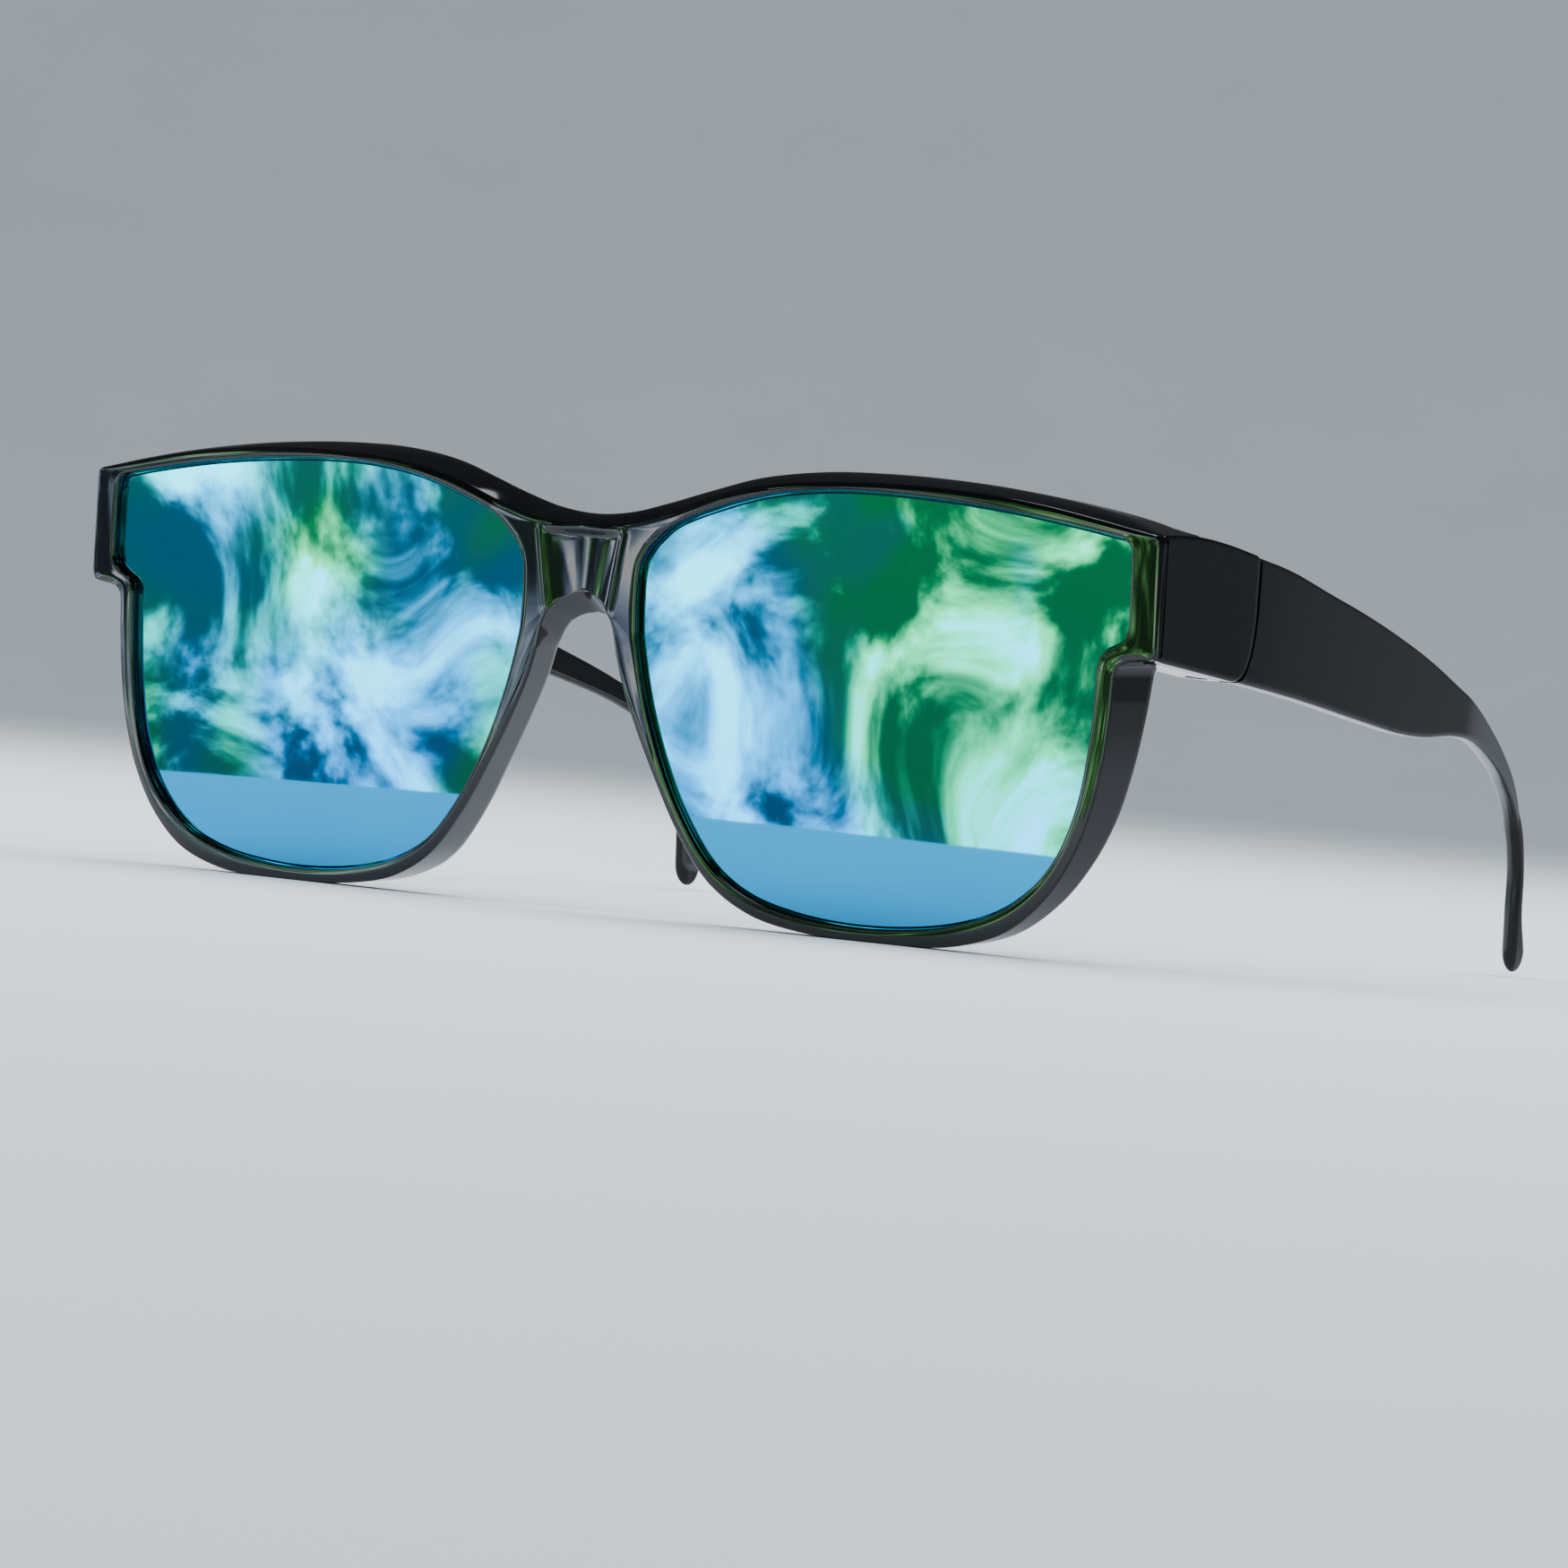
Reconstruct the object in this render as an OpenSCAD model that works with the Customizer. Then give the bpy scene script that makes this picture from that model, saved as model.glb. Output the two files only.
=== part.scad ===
// Fit-over sunglasses: a wrap-round front worn over prescription glasses.
// The pair stands open on its two rim bottoms and its two ear tips.
// +Z is up, the lenses face -Y, the temples run back along +Y, and X = 0 is the plane of symmetry.
// +X is the wearer's left. The origin is on the table, under the middle of the pair.

/* [Front] */
// Half the width over the two endpieces
half_w = 73.6; // [72:0.1:76]
// Radius of the wrap, seen from above
wrap_r = 914; // [700:1:1500]
// Depth of the bridge and of the rims beside the nose
nose_depth = 4.6; // [4.4:0.1:5.2]

/* [Lenses] */
// Thickness of a lens
lens_t = 1.96; // [1.8:0.02:2.0]
// Depth of the lens behind the front lip
lens_recess = 1.0; // [0.8:0.1:1.2]
// Depth of the groove round the lens
groove_d = 0.9; // [0.7:0.1:1.1]

/* [Hinges] */
// Distance of a hinge axis from the plane of symmetry
pin_x = 69.9; // [69.7:0.1:70.1]
// Radius of the screw's shank
shank_r = 0.70; // [0.60:0.05:0.80]
// Radial running clearance of the temple's barrel on the shank
run_gap = 0.05; // [0.02:0.01:0.09]
// Slope of the hinge axis and of the temples against the lens plane
slope = 7.6; // [7.0:0.1:8.2]

/* [Temples] */
// Thickness of the temple plate at the hinge
temple_t = 2.8; // [2.6:0.1:3.0]
// Thickness of the temple at the ear tip
tip_t = 2.0; // [1.8:0.1:2.2]
// How far a temple's broad part curves inwards
bow_in = 4.5; // [4.0:0.1:5.0]
// How far the ear hook turns in beyond that
hook_in = 5.5; // [5.0:0.1:6.0]

/* [Hidden] */
$fn = 64;
WRAP_FN = 720;       // keeps the large wrap cylinder true
EPS = 0.05;          // overlap of solids that are joined

// How the pair stands: it leans forward until rims and tips touch the table
rest_tilt = 3.35;    // turn about X from the lens plane's own frame
rest_lift = 25.22;   // height of the lens frame's origin over the table
rest_back = -58.72; // brings the middle of the depth to Y = 0

// Hinge: the axis stands square on the endpiece's underside
pin_y = 18.6;
pin_z = 5.64;
lug_r = 2.7;         // rounded end of the lugs
lug_low = 2.0;       // thickness of the lower lug
lug_high = 12.0;     // underside of the upper lug
cover_t = 1.35;      // outer wall of the endpiece
side = half_w - pin_x;
barrel_r = 2.05;
washer_t = 0.3;
washer_r = 1.9;
washer_gap = 0.1;
head_r = 1.25;       // screw head, sunk in the lower lug
head_t = 1.0;
insert_r = 1.2;
insert_t = 1.8;
relief_r = 3.0;      // room for the lugs in the temple's front corner
split_gap = 0.2;     // line between endpiece and temple

// Temple seen from above, measured back from the hinge axis
bow_from = 8;        // straight up to here
bow_len = 85;
hook_from = 62;      // the hook turns in from here
hook_to = 94;        // and runs straight back from here
hook_len = 30;
taper_len = 70;      // the plate thins over this length

// Right-hand half of the outer outline, seen from the front: [x, z]
brow = [[0, 19.5], [5.0, 20.0], [10.0, 21.3], [15.5, 23.0], [21.5, 24.7], [29.0, 25.7], [36.5, 25.9],
    [44.0, 25.7], [52.0, 25.1], [60.5, 24.0], [67.5, 22.7], [half_w - 1.2, 21.4], [half_w - 0.3, 20.9]];
ear = [[half_w, 20.2], [half_w, 19.2], [half_w, 9.4], [half_w, 8.6], [half_w - 0.4, 7.9], [half_w - 1.4, 7.6],
    [70.4, 7.35], [69.2, 6.7], [68.8, 5.2]];
flank = [[68.6, 1.5], [67.9, -4.5], [66.7, -9.8], [64.8, -14.6], [61.7, -19.2], [57.2, -22.9], [51.0, -24.9],
    [45.5, -25.4], [38.0, -25.4], [31.5, -25.0], [25.0, -23.7], [19.4, -20.6], [15.0, -15.4], [11.4, -9.2],
    [8.4, -3.2], [6.6, 1.0], [5.3, 4.2]];
arch = [[4.3, 6.3], [2.4, 7.9], [0, 8.4]];

// Lens opening on the +X side: [x, z], closed
opening = [[8.0, 7.0], [7.9, 12.6], [9.4, 16.2], [12.2, 18.6], [17.3, 20.7], [23.9, 22.6], [30.0, 23.5],
    [36.0, 23.8], [45.5, 23.5], [54.6, 22.7], [62.5, 21.6], [68.6, 20.6], [69.8, 19.9], [70.1, 18.7],
    [70.2, 11.4], [69.8, 9.7], [68.6, 8.9], [67.3, 8.2], [66.7, 6.8], [66.6, 2.4], [66.1, -3.2],
    [65.1, -8.8], [63.2, -13.8], [60.4, -17.6], [56.4, -20.6], [50.8, -22.6], [44.2, -23.6], [37.4, -23.8],
    [30.4, -23.1], [24.4, -21.5], [19.4, -18.4], [15.0, -12.8], [12.0, -7.0], [9.9, -1.4], [8.7, 3.0]];

// Under the bridge a slanted round cut rises from the back of the nose gap to the front face
arch_top = 11.1;     // top of the cut in the front face
arch_r = 5.4;
arch_slant = 32;
panel_r = 14;        // hollow of the keystone panel in the front of the bridge
panel_sink = 0.8;

// Depth of the shroud behind the front: seen from the side [z, y] and from above [x, y]
side_depth = [[30, 12.4], [8, 12.0], [0, 10.8], [-10, 9.4], [-19, 7.4], [-24, 6.0], [-30, 5.4]];
plan_depth = [[0, nose_depth], [10, nose_depth + 0.1], [16, 5.6], [24, 7.0], [34, 8.8], [46, 10.4], [60, 12.0],
    [80, 12.6]];

// Endpiece and temple seen from the side, in the hinge's own frame: [back, up]
cover_top = [[-15.0, 13.8], [-8.6, 14.5], [0, 14.55], [4.3, 14.2]];
split = [[5.1, 10.5], [5.35, 6.6], [5.0, 3.2], [4.2, 1.3], [3.0, 0.3], [1.8, 0]];
temple_top = [[4.5, 14.15], [12.65, 13.75], [22.3, 12.65], [32.3, 11.55], [41.6, 10.25], [51.5, 8.55],
    [60.5, 6.55], [71.4, 4.2], [82.0, 1.3], [90.6, -2.0], [96.1, -6.4], [98.6, -12.0], [99.5, -17.7],
    [102.0, -21.3], [102.3, -23.4], [100.6, -24.6], [98.2, -23.8], [97.2, -21.5]];
temple_low = [[96.9, -17.0], [96.1, -11.2], [92.8, -6.0], [84.6, -2.3], [74.6, -0.15], [66.1, 0.84], [60.0, 0.84],
    [55.1, 0.32], [51.3, -0.3], [48.0, -0.6], [44.4, -0.64], [38.0, -0.55]];

// --- curves ---------------------------------------------------------------

// Centripetal Catmull-Rom: a point between b and c, with a and d as their neighbours
function between(a, b, c, d, u) =
    let (ab = sqrt(norm(b - a)), bc = sqrt(norm(c - b)), cd = sqrt(norm(d - c)),
        m = (c - b) + bc * ((b - a) / ab - (c - a) / (ab + bc)),
        n = (c - b) + bc * ((d - c) / cd - (d - b) / (bc + cd)))
    (2 * (b - c) + m + n) * u * u * u + (3 * (c - b) - 2 * m - n) * u * u + m * u + b;

// A smooth line through all the points of an open list
function smooth(p, steps = 3) =
    let (last = len(p) - 1)
    concat([for (i = [0 : last - 1], s = [0 : steps - 1])
        between(i == 0 ? 2 * p[0] - p[1] : p[i - 1], p[i], p[i + 1],
            i == last - 1 ? 2 * p[last] - p[last - 1] : p[i + 2], s / steps)], [p[last]]);

// A smooth closed loop
function loop(p, steps = 3) =
    let (n = len(p))
    [for (i = [0 : n - 1], s = [0 : steps - 1])
        between(p[(i + n - 1) % n], p[i], p[(i + 1) % n], p[(i + 2) % n], s / steps)];

// A closed loop moved outwards by d along its normals; a clockwise loop grows for d > 0
function grow(p, d) =
    let (n = len(p))
    [for (i = [0 : n - 1])
        let (t = p[(i + 1) % n] - p[(i + n - 1) % n])
        p[i] + d * [-t[1], t[0]] / norm(t)];

function flip(p) = [for (i = [len(p) - 1 : -1 : 0]) [-p[i][0], p[i][1]]];
function swap(p) = [for (q = p) [q[1], q[0]]];

half_outline = smooth(concat(brow, ear, flank, arch));
outline = concat(half_outline, [for (q = flip(half_outline)) if (q[0] < -0.01) q]);
lens_loop = loop(opening);

// --- placing --------------------------------------------------------------

// Stands the lens frame on the table
module stand() {
    translate([0, rest_back, rest_lift]) rotate([rest_tilt, 0, 0]) children();
}

// A front view drawn in X and Z, given depth from y0 to y1
module slab(y0, y1) {
    translate([0, y1, 0]) rotate([90, 0, 0]) linear_extrude(y1 - y0) children();
}

// Everything that lies further back than the wrapped front surface moved back by d
module behind(d) {
    translate([0, wrap_r + d, -60]) cylinder(r = wrap_r, h = 120, $fn = WRAP_FN);
}

// Everything between the wrapped surfaces at depths d0 and d1
module layer(d0, d1) {
    difference() {
        behind(d0);
        translate([0, wrap_r + d1, -61]) cylinder(r = wrap_r, h = 122, $fn = WRAP_FN);
    }
}

// The hinge's own frame on the +X side: X across, Y back along the temple, Z up the axis
module at_hinge() {
    translate([pin_x, pin_y, pin_z]) rotate([-slope, 0, 0]) children();
}

// A side view drawn in Y and Z, given width from x0 to x1
module flank_view(x0, x1) {
    translate([x0, 0, 0]) rotate([90, 0, 90]) linear_extrude(x1 - x0) children();
}

module both_sides() {
    children();
    mirror([1, 0, 0]) children();
}

// What lies under the table, cut off so that rims and tips stand on small flats
module under_table() {
    translate([-150, -150, -20]) cube([300, 300, 20]);
}

// --- front ----------------------------------------------------------------

// Rims, brow, bridge and shroud walls in one: the outline, as deep as the side and top views allow
module front_shell() {
    intersection() {
        slab(-1, 14) polygon(outline);
        behind(0);
        flank_view(-half_w - 1, half_w + 1) polygon(concat([[-1, -30], [-1, 30]], swap(side_depth)));
        translate([0, 0, -40]) linear_extrude(80) polygon(concat([[-80, -1]], flip(plan_depth), plan_depth, [[80, -1]]));
    }
}

// Window and groove of the +X lens
module lens_seat() {
    slab(-2, 15) polygon(lens_loop);
    intersection() {
        slab(-1, 14) polygon(grow(lens_loop, groove_d));
        layer(lens_recess, lens_recess + lens_t + 0.04);
    }
}

// Slanted round underside of the bridge
module arch_cut() {
    translate([0, 0, arch_top]) rotate([-90 - arch_slant, 0, 0])
        translate([0, arch_r, -12]) cylinder(r = arch_r, h = 24);
}

// Hollow front of the bridge
module panel_cut() {
    translate([0, panel_sink - panel_r, arch_top - 3]) cylinder(r = panel_r, h = 6.6, $fn = 128);
}

// Box on the side of the front that covers the hinge, open inwards and to the back
module endpiece() {
    at_hinge() {
        difference() {
            union() {
                intersection() {
                    flank_view(-6, side) polygon(concat([[-15, 0]], cover_top, smooth(split)));
                    translate([-lug_r, -20, -1]) cube([side + lug_r, 20, 20]);
                }
                intersection() {
                    flank_view(-6, side) polygon(concat([[-15, 0]], cover_top, smooth(split)));
                    translate([side - cover_t, -1, -1]) cube([cover_t, 10, 20]);
                }
                cylinder(r = lug_r, h = lug_low);
                translate([0, 0, lug_high]) cylinder(r = lug_r, h = 14.45 - lug_high);
            }
            translate([-10, -12.5, lug_low]) cube([10 + side - cover_t, 30, lug_high - lug_low]);
        }
    }
}

// Holes for the screw: sunk head, shank, and the pocket of the insert
module hinge_holes() {
    at_hinge() {
        translate([0, 0, -1]) cylinder(r = head_r + run_gap, h = 1 + head_t + 0.1);
        translate([0, 0, -1]) cylinder(r = shank_r + run_gap, h = lug_high + 1.1);
        translate([0, 0, lug_high - EPS]) cylinder(r = insert_r, h = insert_t + EPS);
    }
}

module front_frame() {
    color("#15171a") difference() {
        stand() difference() {
            union() {
                difference() {
                    front_shell();
                    both_sides() lens_seat();
                    arch_cut();
                    panel_cut();
                }
                both_sides() difference() {
                    endpiece();
                    lens_seat();
                }
            }
            both_sides() hinge_holes();
        }
        under_table();
    }
}

// --- lenses ---------------------------------------------------------------

module lens() {
    color("#1f9fc4") stand() intersection() {
        slab(-1, 14) polygon(grow(lens_loop, groove_d - 0.05));
        layer(lens_recess + 0.02, lens_recess + 0.02 + lens_t);
    }
}

module lens_left() { lens(); }
module lens_right() { mirror([1, 0, 0]) lens(); }

// --- temples --------------------------------------------------------------

// Distance of the temple's outer face from the hinge axis, as far back as y
function bow(y) = side - bow_in * pow(max(0, y - bow_from) / bow_len, 1.35)
    - hook_in * pow(max(0, min(y, hook_to) - hook_from) / hook_len, 1.2);
function plate_t(y) = temple_t + (tip_t - temple_t) * min(1, max(0, y - bow_from) / taper_len);
bow_steps = [for (y = [0 : 4 : 104]) y];
bow_plan = concat([for (y = bow_steps) [bow(y), y]],
    [for (i = [len(bow_steps) - 1 : -1 : 0]) let (y = bow_steps[i]) [bow(y) - plate_t(y), y]]);

// The plate and ear hook: the side view, bent inwards as the top view says
module plate() {
    intersection() {
        flank_view(-12, side + 1) polygon(concat(smooth(concat(temple_top, temple_low)), gap_line));
        translate([0, 0, -40]) linear_extrude(70) polygon(bow_plan);
    }
}

// Front edge of the temple: the split line with its gap
gap_line = [for (i = [len(split) - 1 : -1 : 0]) [split[i][0] + split_gap + (i == len(split) - 1 ? 0.6 : 0.05), split[i][1]]];

module temple() {
    color("#16181b") difference() {
        stand() at_hinge() difference() {
            union() {
                difference() {
                    plate();
                    translate([0, 0, -1]) cylinder(r = relief_r, h = lug_low + washer_t + 1.1);
                    translate([0, 0, lug_high - 0.35]) cylinder(r = relief_r, h = 5);
                }
                translate([0, 0, lug_low + washer_t + washer_gap]) {
                    cylinder(r = barrel_r, h = lug_high - lug_low - 2 * (washer_t + washer_gap));
                    translate([-1.5, 0, 0]) cube([1.5 + barrel_r, 7.5, lug_high - lug_low - 2 * (washer_t + washer_gap)]);
                }
            }
            translate([0, 0, -2]) cylinder(r = shank_r + run_gap, h = 20);
        }
        under_table();
    }
}

module temple_left() { temple(); }
module temple_right() { mirror([1, 0, 0]) temple(); }

// --- hinge hardware -------------------------------------------------------

// Slotted screw, up through the lower lug and the barrel into the insert
module hinge_screw() {
    color("silver") stand() at_hinge() difference() {
        union() {
            translate([0, 0, 0.1]) cylinder(r = head_r, h = head_t);
            translate([0, 0, 0.1 + head_t - EPS]) cylinder(r = shank_r, h = lug_high + insert_t - 0.3 - head_t);
        }
        translate([-2, -0.2, -0.4]) cube([4, 0.4, 0.85]);
    }
}

module hinge_screw_left() { hinge_screw(); }
module hinge_screw_right() { mirror([1, 0, 0]) hinge_screw(); }

module ring(r_out, r_in, h) {
    difference() {
        cylinder(r = r_out, h = h);
        translate([0, 0, -1]) cylinder(r = r_in, h = h + 2);
    }
}

// Brass insert in the upper lug that takes the screw's thread
module insert() {
    color("goldenrod") stand() at_hinge() translate([0, 0, lug_high]) ring(insert_r, shank_r + 0.01, insert_t);
}

module insert_left() { insert(); }
module insert_right() { mirror([1, 0, 0]) insert(); }

// Thin slip washers between the barrel and the two lugs
module washer(z) {
    color("ivory") stand() at_hinge() translate([0, 0, z]) ring(washer_r, shank_r + 0.05, washer_t);
}

module washer_lower_left() { washer(lug_low); }
module washer_lower_right() { mirror([1, 0, 0]) washer(lug_low); }
module washer_upper_left() { washer(lug_high - washer_t); }
module washer_upper_right() { mirror([1, 0, 0]) washer(lug_high - washer_t); }

front_frame();
lens_left();
lens_right();
temple_left();
temple_right();
hinge_screw_left();
hinge_screw_right();
insert_left();
insert_right();
washer_lower_left();
washer_lower_right();
washer_upper_left();
washer_upper_right();
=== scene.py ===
"""Fit-over sunglasses with mirror lenses, standing open on a pale table.

Outlines are written in millimetres in the lens frame: X across, Y back from the front face, Z up.
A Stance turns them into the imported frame, in metres.
"""

import logging
import math
from collections.abc import Callable
from dataclasses import dataclass
from enum import Enum

import bmesh
import bpy
import numpy as np
from bpy.types import ID, Material, Node, NodeSocket, NodeTree, Object, World
from mathutils import Matrix, Vector

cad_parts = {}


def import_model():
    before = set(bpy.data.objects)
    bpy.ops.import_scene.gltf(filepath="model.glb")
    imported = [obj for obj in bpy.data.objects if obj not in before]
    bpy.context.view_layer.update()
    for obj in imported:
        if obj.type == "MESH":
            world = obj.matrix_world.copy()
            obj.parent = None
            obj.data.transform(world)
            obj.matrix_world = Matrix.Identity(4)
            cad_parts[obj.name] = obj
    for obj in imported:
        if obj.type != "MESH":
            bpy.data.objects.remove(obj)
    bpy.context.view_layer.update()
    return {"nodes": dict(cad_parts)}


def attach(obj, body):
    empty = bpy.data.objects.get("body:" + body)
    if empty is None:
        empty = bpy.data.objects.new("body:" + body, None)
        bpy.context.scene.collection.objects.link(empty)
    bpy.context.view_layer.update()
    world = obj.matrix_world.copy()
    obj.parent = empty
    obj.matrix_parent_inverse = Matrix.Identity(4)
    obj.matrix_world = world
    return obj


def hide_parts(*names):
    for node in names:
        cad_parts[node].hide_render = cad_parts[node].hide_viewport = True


LOG = logging.getLogger("sunglasses")
MM = 0.001
SPAN_STEPS = 8  # samples on each span of a drawn line


# --- curves -----------------------------------------------------------------


def smooth(points: tuple | np.ndarray, per: int = SPAN_STEPS) -> np.ndarray:
    """Draws a centripetal Catmull-Rom line through all the points of an open list.

    A line that starts or ends on the middle plane runs level across it.

    Args:
        points: rows of coordinates.
        per: samples for each span.

    Returns:
        The dense line, ending exactly on the last point.
    """
    p = np.asarray(points, float)
    mirror = np.array([-1.0] + [1.0] * (p.shape[1] - 1))
    before = p[1] * mirror if p[0, 0] == 0 else 2 * p[0] - p[1]
    after = p[-2] * mirror if p[-1, 0] == 0 else 2 * p[-1] - p[-2]
    ends = np.vstack([before, p, after])
    out = []
    for a, b, c, d in zip(ends[:-3], ends[1:-2], ends[2:-1], ends[3:]):
        ab, bc, cd = (math.sqrt(max(np.linalg.norm(v), 1e-9)) for v in (b - a, c - b, d - c))
        m = (c - b) + bc * ((b - a) / ab - (c - a) / (ab + bc))
        n = (c - b) + bc * ((d - c) / cd - (d - b) / (bc + cd))
        for u in np.arange(per) / per:
            out.append((2 * (b - c) + m + n) * u**3 + (3 * (c - b) - 2 * m - n) * u * u + m * u + b)
    return np.vstack([out, p[-1]])


def along(line: np.ndarray, fractions: np.ndarray) -> np.ndarray:
    """Points of a line at the given fractions of its length.

    Args:
        line: the dense line.
        fractions: values from 0 to 1.

    Returns:
        One row for each fraction.
    """
    step = np.linalg.norm(np.diff(line, axis=0), axis=1)
    run = np.concatenate([[0], np.cumsum(step)])
    return np.stack([np.interp(fractions * run[-1], run, line[:, k]) for k in range(line.shape[1])], -1)


def normals_of(line: np.ndarray, closed: bool) -> np.ndarray:
    """Left-hand unit normals of a flat line, which point outwards on a clockwise loop.

    Args:
        line: points in a plane.
        closed: whether the last point meets the first.

    Returns:
        One normal for each point.
    """
    if closed:
        t = np.roll(line, -1, 0) - np.roll(line, 1, 0)
    else:
        t = np.gradient(line, axis=0)
        t[0, 1] = t[-1, 1] = 0.0
    n = np.stack([-t[:, 1], t[:, 0]], -1)
    return n / np.maximum(np.linalg.norm(n, axis=1, keepdims=True), 1e-9)


def table(pairs: tuple, value: np.ndarray) -> np.ndarray:
    """Reads a smooth curve through (key, value) pairs at the given keys."""
    line = smooth(pairs)
    return np.interp(value, line[:, 0], line[:, 1])


def ease(share: float | np.ndarray) -> float | np.ndarray:
    """A share from 0 to 1 with a level start and end."""
    return share * share * (3 - 2 * share)


def stand(flat: np.ndarray, depth: float | np.ndarray) -> np.ndarray:
    """Flat (x, z) points at a depth as lens-frame points."""
    return np.stack([flat[:, 0], np.broadcast_to(depth, len(flat)), flat[:, 1]], -1)


def lerp(start: np.ndarray, end: np.ndarray, share: float) -> np.ndarray:
    """Points a share of the way from the start to the end."""
    return start + (end - start) * share


# --- frames -----------------------------------------------------------------


@dataclass(frozen=True)
class Stance:
    """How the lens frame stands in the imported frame, and where the hinges are in the lens frame."""

    tilt: float = math.radians(3.35)
    back: float = -58.72
    lift: float = 25.22
    wrap: float = 914.0
    pin: tuple = (69.9, 18.6, 5.64)
    slope: float = math.radians(7.6)

    def wrapped(self, x: np.ndarray) -> np.ndarray:
        """Depth of the curved front at a distance x from the middle."""
        return self.wrap - np.sqrt(self.wrap**2 - np.asarray(x, float) ** 2)

    def to_row(self, p: np.ndarray) -> np.ndarray:
        """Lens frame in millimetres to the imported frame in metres."""
        c, s = math.cos(self.tilt), math.sin(self.tilt)
        y = p[..., 1] * c - p[..., 2] * s + self.back
        z = p[..., 1] * s + p[..., 2] * c + self.lift
        return np.stack([p[..., 0], y, z], -1) * MM

    def turn(self, v: tuple) -> Vector:
        """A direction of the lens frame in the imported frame."""
        return Matrix.Rotation(self.tilt, 3, "X") @ Vector(v)

    def from_hinge(self, across: np.ndarray, back: np.ndarray, up: np.ndarray) -> np.ndarray:
        """Distances in the hinge frame, each a number or an array, to the lens frame on the +X side."""
        across, back, up = np.broadcast_arrays(across, back, up)
        c, s = math.cos(self.slope), math.sin(self.slope)
        return np.stack([across, back * c + up * s, up * c - back * s], -1) + self.pin


STANCE = Stance()


class Side(Enum):
    """The wearer's side that a piece belongs to, with the sign of its X."""

    LEFT = 1
    RIGHT = -1

    @property
    def word(self) -> str:
        """The side as it is written in piece names."""
        return self.name.lower()


# --- meshes -----------------------------------------------------------------

MERGE = 5e-7  # metres between points that are the same
SLIVER = 1e-7  # metres along an edge that is no edge


def put(name: str, data: ID) -> Object:
    """Puts an object with the given mesh, lamp or camera into the scene."""
    obj = bpy.data.objects.new(name, data)
    bpy.context.scene.collection.objects.link(obj)
    return obj


class MeshKit:
    """Collects rows of points in the lens frame and turns them into one closed mesh."""

    def __init__(self) -> None:
        """Starts an empty kit."""
        self.points: list = []
        self.faces: list = []

    def add(self, points: np.ndarray) -> int:
        """Adds points and returns the index of the first."""
        start = len(self.points)
        self.points.extend(np.asarray(points, float).reshape(-1, 3).tolist())
        return start

    def skin(self, rows: list, closed: bool = True, ends: bool = False, skip: set | None = None) -> None:
        """Spans faces between neighbouring rows of equal length.

        Args:
            rows: arrays of points, one after another.
            closed: whether each row runs round to its first point.
            ends: whether the first and last rows are capped.
            skip: (row, column) pairs left open.
        """
        n = len(rows[0])
        starts = [self.add(r) for r in rows]
        for k, (a, b) in enumerate(zip(starts, starts[1:])):
            for i in range(n if closed else n - 1):
                if skip and (k, i) in skip:
                    continue
                j = (i + 1) % n
                self.faces.append((a + i, a + j, b + j, b + i))
        if ends:
            self.faces.append(tuple(starts[0] + i for i in range(n)))
            self.faces.append(tuple(starts[-1] + i for i in reversed(range(n))))

    def build(self, name: str, side: Side | None = None, sharp: float = 40.0) -> Object:
        """Makes the object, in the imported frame.

        Args:
            name: name of the piece.
            side: RIGHT mirrors a shape drawn on the +X side; None mirrors and joins both halves.
            sharp: faces that meet at more than this many degrees keep their edge.

        Returns:
            The finished object at the origin.
        """
        row = STANCE.to_row(np.asarray(self.points))
        row[:, 2] = np.maximum(row[:, 2], 0.0)  # the rims stand flat on the table
        mesh = bpy.data.meshes.new(name)
        bm = bmesh.new()
        signs = (1, -1) if side is None else (side.value,)
        for sign in signs:
            verts = [bm.verts.new((sign * x, y, z)) for x, y, z in row]
            for f in self.faces:
                bm.faces.new([verts[i] for i in f])
        bmesh.ops.remove_doubles(bm, verts=bm.verts, dist=MERGE)
        bmesh.ops.dissolve_degenerate(bm, edges=bm.edges, dist=SLIVER)
        bmesh.ops.recalc_face_normals(bm, faces=bm.faces)
        for e in bm.edges:
            e.smooth = len(e.link_faces) == 2 and math.degrees(e.calc_face_angle(0)) < sharp
        for f in bm.faces:
            f.smooth = True
        bm.to_mesh(mesh)
        bm.free()
        return put(name, mesh)


def level(p: np.ndarray, height: float) -> np.ndarray:
    """Plan points (across, back) of the hinge frame at a height, in the lens frame."""
    return STANCE.from_hinge(p[:, 0], p[:, 1], height)


def prism(kit: MeshKit, outline: np.ndarray, levels: list, place: Callable) -> None:
    """Lofts one flat outline through several levels and caps it.

    Args:
        kit: where the faces go.
        outline: clockwise points in the plane of the outline.
        levels: (height, inset) pairs, one for each row.
        place: turns outline points and a height into lens-frame points.
    """
    n = normals_of(outline, True)
    kit.skin([place(outline - n * inset, height) for height, inset in levels], ends=True)


def rounded(depth: float, radius: float, steps: int = 4) -> list:
    """Levels of a slab with rounded edges, from 0 down to -depth, as (height, inset) pairs."""
    arc = [math.radians(90 * k / steps) for k in range(steps + 1)]
    top = [(-radius * (1 - math.cos(a)), radius * (1 - math.sin(a))) for a in arc]
    low = [(-depth + radius * (1 - math.cos(a)), radius * (1 - math.sin(a))) for a in reversed(arc)]
    return top + low


# --- finishes ---------------------------------------------------------------


def linear(code: str) -> tuple:
    """An sRGB hex colour as linear RGBA."""
    parts = [int(code.lstrip("#")[k : k + 2], 16) / 255 for k in (0, 2, 4)]
    return (*[c / 12.92 if c <= 0.04045 else ((c + 0.055) / 1.055) ** 2.4 for c in parts], 1.0)


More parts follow.
